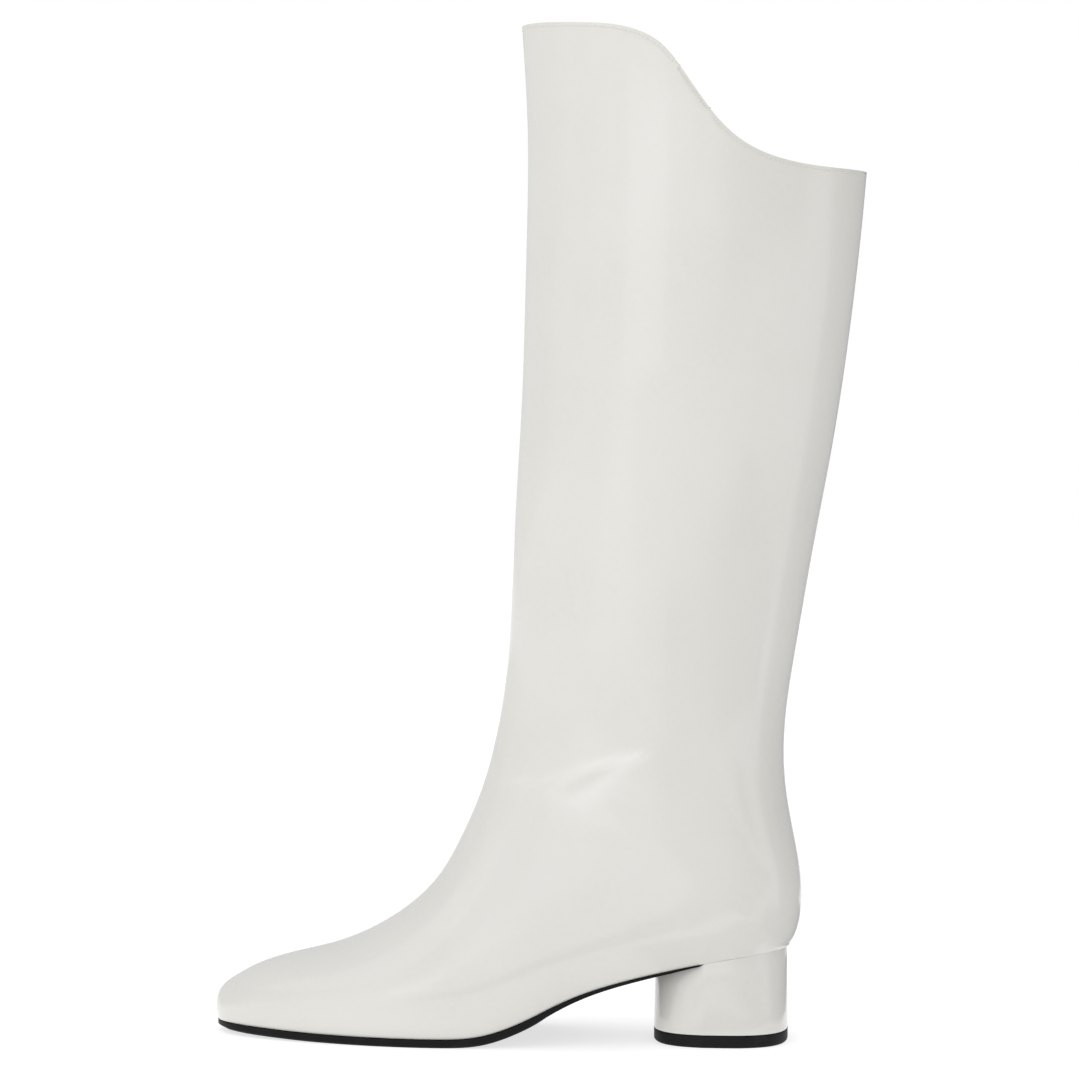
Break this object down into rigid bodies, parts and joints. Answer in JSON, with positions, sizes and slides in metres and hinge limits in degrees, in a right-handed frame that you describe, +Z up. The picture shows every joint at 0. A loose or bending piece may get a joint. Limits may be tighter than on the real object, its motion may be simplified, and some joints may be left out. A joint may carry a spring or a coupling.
{
  "type": "tall boot",
  "caption": "Knee-high pull-on boot for the left foot in smooth white leather, with a scooped collar, a thin black sole and a low round column heel.",
  "frame": {"origin": "on the floor, under the middle of the bounding box", "axes": "+Z up from the floor to the collar, the toe points to -X, and the outer, lateral side of the foot faces -Y"},
  "size_m": [0.2812, 0.0942, 0.4336],
  "materials": {
    "upper_leather": "smooth polished white",
    "sock_lining": "plain undyed lining",
    "sole_rubber": "satin black",
    "heel_leather": "smooth polished white",
    "heel_rubber": "matt black"
  },
  "bodies": {
    "root": {"upper": "upper_leather", "insole": "sock_lining", "outsole": "sole_rubber", "heel": "heel_leather", "top_lift": "heel_rubber"}
  },
  "joints": []
}
